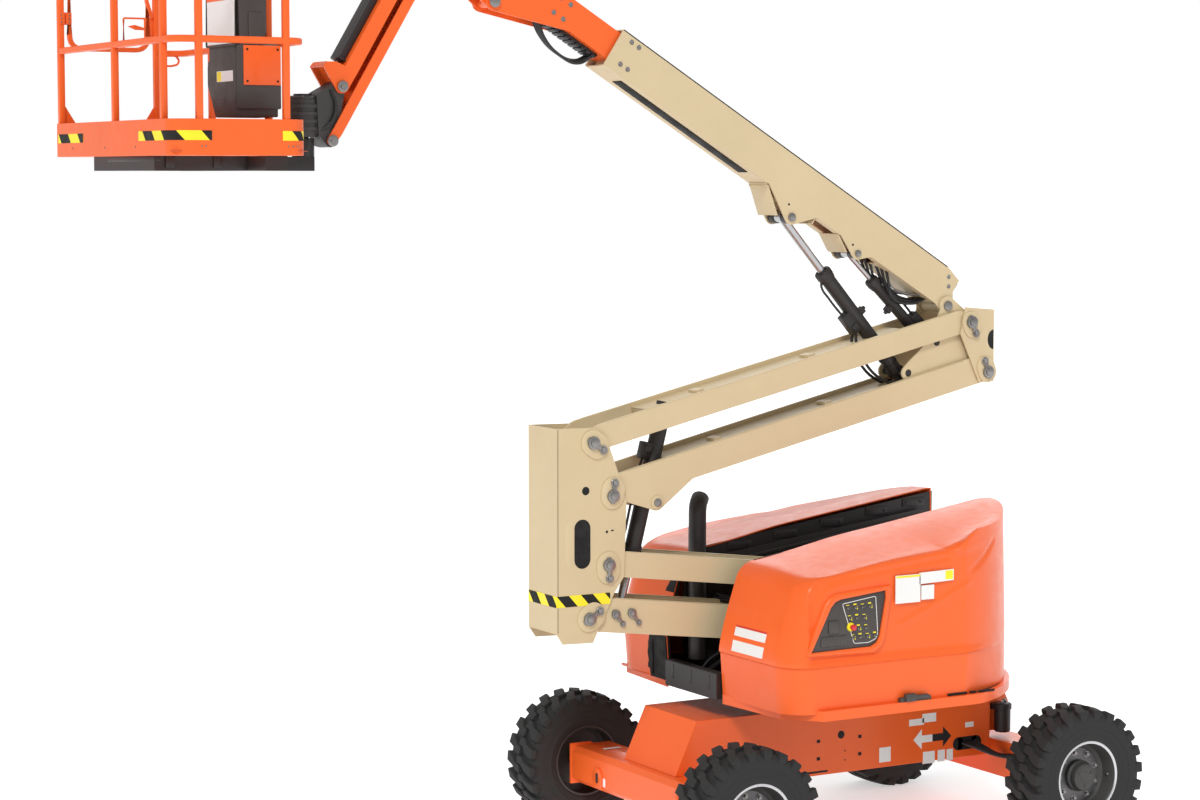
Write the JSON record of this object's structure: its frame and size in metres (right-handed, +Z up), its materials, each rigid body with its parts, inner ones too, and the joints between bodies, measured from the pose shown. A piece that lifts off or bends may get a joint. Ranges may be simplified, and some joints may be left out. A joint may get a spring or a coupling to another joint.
{
  "type": "articulating boom lift",
  "caption": "Self-propelled articulating boom lift: wheeled chassis, slewing turret with hoods, folding tower arms, telescopic boom, jib and railed work platform.",
  "frame": {"origin": "on the ground, under the middle of the whole machine's bounding box", "axes": "+Z up; +X towards the tail of the turret, so the booms and platform point towards -X; +Y across the machine, the far side of the machine being +Y"},
  "size_m": [6.032, 2.22, 5.5576],
  "materials": {
    "orange_paint": "glossy orange paint on pressed and welded steel",
    "tan_paint": "satin tan paint on welded steel",
    "black_paint": "satin black paint",
    "cast_iron": "dark painted casting",
    "steel_rod": "ground and plated steel",
    "tyre_rubber": "black foam-filled tyre rubber with a lug tread"
  },
  "bodies": {
    "chassis": {"chassis_frame": "orange_paint", "fixed_axle": "orange_paint", "steered_axle": "orange_paint", "swing_bearing": "black_paint"},
    "steering_knuckle_near": {"steering_knuckle_near": "cast_iron"},
    "steering_knuckle_far": {"steering_knuckle_far": "cast_iron"},
    "tie_rod": {"tie_rod": "steel_rod"},
    "turret": {"turntable_frame": "black_paint", "counterweight": "cast_iron", "engine_block": "cast_iron", "exhaust_pipe": "black_paint", "control_panel": "black_paint"},
    "near_hood": {"near_hood": "orange_paint"},
    "far_hood": {"far_hood": "orange_paint"},
    "lower_arm": {"lower_arm": "tan_paint"},
    "lower_link": {"lower_link": "tan_paint"},
    "upright": {"upright": "tan_paint"},
    "upper_arm": {"upper_arm": "tan_paint"},
    "upper_link": {"upper_link": "tan_paint"},
    "knuckle": {"knuckle": "tan_paint"},
    "tower_cylinder_barrel": {"tower_cylinder_barrel": "black_paint"},
    "tower_cylinder_rod": {"tower_cylinder_rod": "steel_rod"},
    "main_boom": {"main_boom": "tan_paint"},
    "lift_cylinder_barrel": {"lift_cylinder_barrel": "black_paint"},
    "lift_cylinder_rod": {"lift_cylinder_rod": "steel_rod"},
    "level_cylinder_barrel": {"level_cylinder_barrel": "black_paint"},
    "level_cylinder_rod": {"level_cylinder_rod": "steel_rod"},
    "fly_boom": {"fly_boom": "orange_paint"},
    "jib_base": {"jib_base": "orange_paint"},
    "jib_arm": {"jib_arm": "orange_paint", "hose_guard": "black_paint"},
    "jib_link": {"jib_link": "orange_paint"},
    "jib_head": {"jib_head": "cast_iron"},
    "jib_cylinder_barrel": {"jib_cylinder_barrel": "black_paint"},
    "jib_cylinder_rod": {"jib_cylinder_rod": "steel_rod"},
    "platform": {"platform_support": "black_paint", "platform_floor": "orange_paint", "platform_rails": "orange_paint", "platform_console": "black_paint"},
    "platform_gate": {"platform_gate": "orange_paint"},
    "wheel_fixed_near": {"tyre_fixed_near": "tyre_rubber", "rim_fixed_near": "cast_iron"},
    "wheel_fixed_far": {"tyre_fixed_far": "tyre_rubber", "rim_fixed_far": "cast_iron"},
    "wheel_steered_near": {"tyre_steered_near": "tyre_rubber", "rim_steered_near": "cast_iron"},
    "wheel_steered_far": {"tyre_steered_far": "tyre_rubber", "rim_steered_far": "cast_iron"}
  },
  "joints": [
    {"name": "wheel_fixed_near_spin", "type": "hinge", "parent": "chassis", "child": "wheel_fixed_near", "pos_m": [0.27105, -0.955, 0.415], "axis": [0, 1, 0], "continuous": true},
    {"name": "steer_near", "type": "hinge", "parent": "chassis", "child": "steering_knuckle_near", "pos_m": [2.60105, -0.7, 0.415], "axis": [0, 0, 1], "range_deg": [-38, 38]},
    {"name": "wheel_steered_near_spin", "type": "hinge", "parent": "steering_knuckle_near", "child": "wheel_steered_near", "pos_m": [2.60105, -0.955, 0.415], "axis": [0, 1, 0], "continuous": true},
    {"name": "wheel_fixed_far_spin", "type": "hinge", "parent": "chassis", "child": "wheel_fixed_far", "pos_m": [0.27105, 0.955, 0.415], "axis": [0, 1, 0], "continuous": true},
    {"name": "steer_far", "type": "hinge", "parent": "chassis", "child": "steering_knuckle_far", "pos_m": [2.60105, 0.7, 0.415], "axis": [0, 0, 1], "range_deg": [-38.01, 38.01]},
    {"name": "wheel_steered_far_spin", "type": "hinge", "parent": "steering_knuckle_far", "child": "wheel_steered_far", "pos_m": [2.60105, 0.955, 0.415], "axis": [0, 1, 0], "continuous": true},
    {"name": "tie_rod_slide", "type": "slide", "parent": "chassis", "child": "tie_rod", "axis": [0, 1, 0], "range_m": [-0.10258, 0.10258]},
    {"name": "slew", "type": "hinge", "parent": "chassis", "child": "turret", "pos_m": [1.43605, 0, 0.95], "axis": [0, 0, 1], "range_deg": [-177.5, 177.5]},
    {"name": "near_hood_lift", "type": "hinge", "parent": "turret", "child": "near_hood", "pos_m": [0.73605, -0.3, 1.775], "axis": [-0.9889, 0, -0.1483], "range_deg": [0, 65]},
    {"name": "far_hood_lift", "type": "hinge", "parent": "turret", "child": "far_hood", "pos_m": [0.73605, 0.3, 1.775], "axis": [0.9889, 0, 0.1483], "range_deg": [0, 65]},
    {"name": "tower_lift", "type": "hinge", "parent": "turret", "child": "lower_arm", "pos_m": [2.39805, 0, 1.132], "axis": [0, 1, 0], "range_deg": [-5.9, 52.8]},
    {"name": "lower_link_swing", "type": "hinge", "parent": "turret", "child": "lower_link", "pos_m": [2.52405, 0, 1.433], "axis": [0, 1, 0], "range_deg": [-5.91, 52.81]},
    {"name": "upright_level", "type": "hinge", "parent": "lower_arm", "child": "upright", "pos_m": [-0.28066, 0, 1.4704], "axis": [0, 1, 0], "range_deg": [-52.81, 5.91]},
    {"name": "upper_arm_swing", "type": "hinge", "parent": "upright", "child": "upper_arm", "pos_m": [-0.12766, 0, 2.1634], "axis": [0, 1, 0], "range_deg": [-52.81, 5.91]},
    {"name": "upper_link_swing", "type": "hinge", "parent": "upright", "child": "upper_link", "pos_m": [-0.25566, 0, 2.4714], "axis": [0, 1, 0], "range_deg": [-52.81, 5.91]},
    {"name": "knuckle_level", "type": "hinge", "parent": "upper_arm", "child": "knuckle", "pos_m": [2.53042, 0, 2.77707], "axis": [0, 1, 0], "range_deg": [-5.91, 52.81]},
    {"name": "tower_cylinder_swing", "type": "hinge", "parent": "upper_arm", "child": "tower_cylinder_barrel", "pos_m": [0.17576, 0, 2.10721], "axis": [0, 1, 0], "range_deg": [-5.33, 47.65]},
    {"name": "tower_cylinder_stroke", "type": "slide", "parent": "tower_cylinder_barrel", "child": "tower_cylinder_rod", "axis": [-0.2504, 0, -0.9681], "range_m": [-0.05842, 0.51485]},
    {"name": "boom_lift", "type": "hinge", "parent": "knuckle", "child": "main_boom", "pos_m": [2.25642, 0, 3.18607], "axis": [0, 1, 0], "range_deg": [-28, 44]},
    {"name": "lift_cylinder_swing", "type": "hinge", "parent": "knuckle", "child": "lift_cylinder_barrel", "pos_m": [1.96642, 0, 2.78607], "axis": [0, 1, 0], "range_deg": [-24.66, 38.74]},
    {"name": "lift_cylinder_stroke", "type": "slide", "parent": "lift_cylinder_barrel", "child": "lift_cylinder_rod", "axis": [-0.6651, 0, 0.7467], "range_m": [-0.22207, 0.3484]},
    {"name": "level_cylinder_swing", "type": "hinge", "parent": "knuckle", "child": "level_cylinder_barrel", "pos_m": [2.17642, 0, 2.96607], "axis": [0, 1, 0], "range_deg": [-24.1, 37.86]},
    {"name": "level_cylinder_stroke", "type": "slide", "parent": "level_cylinder_barrel", "child": "level_cylinder_rod", "axis": [-0.7268, 0, 0.6869], "range_m": [-0.09707, 0.15197]},
    {"name": "telescope", "type": "slide", "parent": "main_boom", "child": "fly_boom", "axis": [-0.8572, 0, 0.515], "range_m": [0, 1.95]},
    {"name": "jib_base_level", "type": "hinge", "parent": "fly_boom", "child": "jib_base", "pos_m": [-0.83339, 0, 4.93062], "axis": [0, 1, 0], "range_deg": [-44.01, 28.01]},
    {"name": "jib_lift", "type": "hinge", "parent": "jib_base", "child": "jib_arm", "pos_m": [-1.11439, 0, 5.51362], "axis": [0, 1, 0], "range_deg": [-1, 143]},
    {"name": "jib_link_swing", "type": "hinge", "parent": "jib_base", "child": "jib_link", "pos_m": [-1.17439, 0, 5.22362], "axis": [0, 1, 0], "range_deg": [-1.01, 143.01]},
    {"name": "jib_head_level", "type": "hinge", "parent": "jib_arm", "child": "jib_head", "pos_m": [-1.75304, 0, 4.45073], "axis": [0, 1, 0], "range_deg": [-143.01, 1.01]},
    {"name": "jib_cylinder_swing", "type": "hinge", "parent": "jib_base", "child": "jib_cylinder_barrel", "pos_m": [-1.14439, 0, 5.36862], "axis": [0, 1, 0], "range_deg": [-1, 142.02]},
    {"name": "jib_cylinder_stroke", "type": "slide", "parent": "jib_cylinder_barrel", "child": "jib_cylinder_rod", "axis": [-0.5521, 0, -0.8338], "range_m": [-0.00296, 0.28151]},
    {"name": "platform_rotate", "type": "hinge", "parent": "jib_head", "child": "platform", "pos_m": [-1.94304, 0, 4.45073], "axis": [0, 0, 1], "range_deg": [-90, 90]},
    {"name": "gate_swing", "type": "hinge", "parent": "platform", "child": "platform_gate", "pos_m": [-2.96494, 0.8365, 4.90073], "axis": [0, 0, -1], "range_deg": [0, 85]}
  ],
  "couplings": [
    {"joint": "steer_far", "follows": "steer_near", "ratio": 1},
    {"joint": "tie_rod_slide", "follows": "steer_near", "m_per_rad": 0.15317},
    {"joint": "lower_link_swing", "follows": "tower_lift", "ratio": 1},
    {"joint": "upright_level", "follows": "tower_lift", "ratio": -1},
    {"joint": "upper_arm_swing", "follows": "tower_lift", "ratio": -1},
    {"joint": "upper_link_swing", "follows": "tower_lift", "ratio": -1},
    {"joint": "knuckle_level", "follows": "tower_lift", "ratio": 1},
    {"joint": "tower_cylinder_swing", "follows": "tower_lift", "ratio": 0.90228},
    {"joint": "tower_cylinder_stroke", "follows": "tower_lift", "m_per_rad": 0.5576},
    {"joint": "lift_cylinder_swing", "follows": "boom_lift", "ratio": 0.88019},
    {"joint": "lift_cylinder_stroke", "follows": "boom_lift", "m_per_rad": 0.45237},
    {"joint": "level_cylinder_swing", "follows": "boom_lift", "ratio": 0.86034},
    {"joint": "level_cylinder_stroke", "follows": "boom_lift", "m_per_rad": 0.19659},
    {"joint": "jib_base_level", "follows": "boom_lift", "ratio": -1},
    {"joint": "jib_link_swing", "follows": "jib_lift", "ratio": 1},
    {"joint": "jib_head_level", "follows": "jib_lift", "ratio": -1},
    {"joint": "jib_cylinder_swing", "follows": "jib_lift", "ratio": 0.99307},
    {"joint": "jib_cylinder_stroke", "follows": "jib_lift", "m_per_rad": 0.11239}
  ]
}
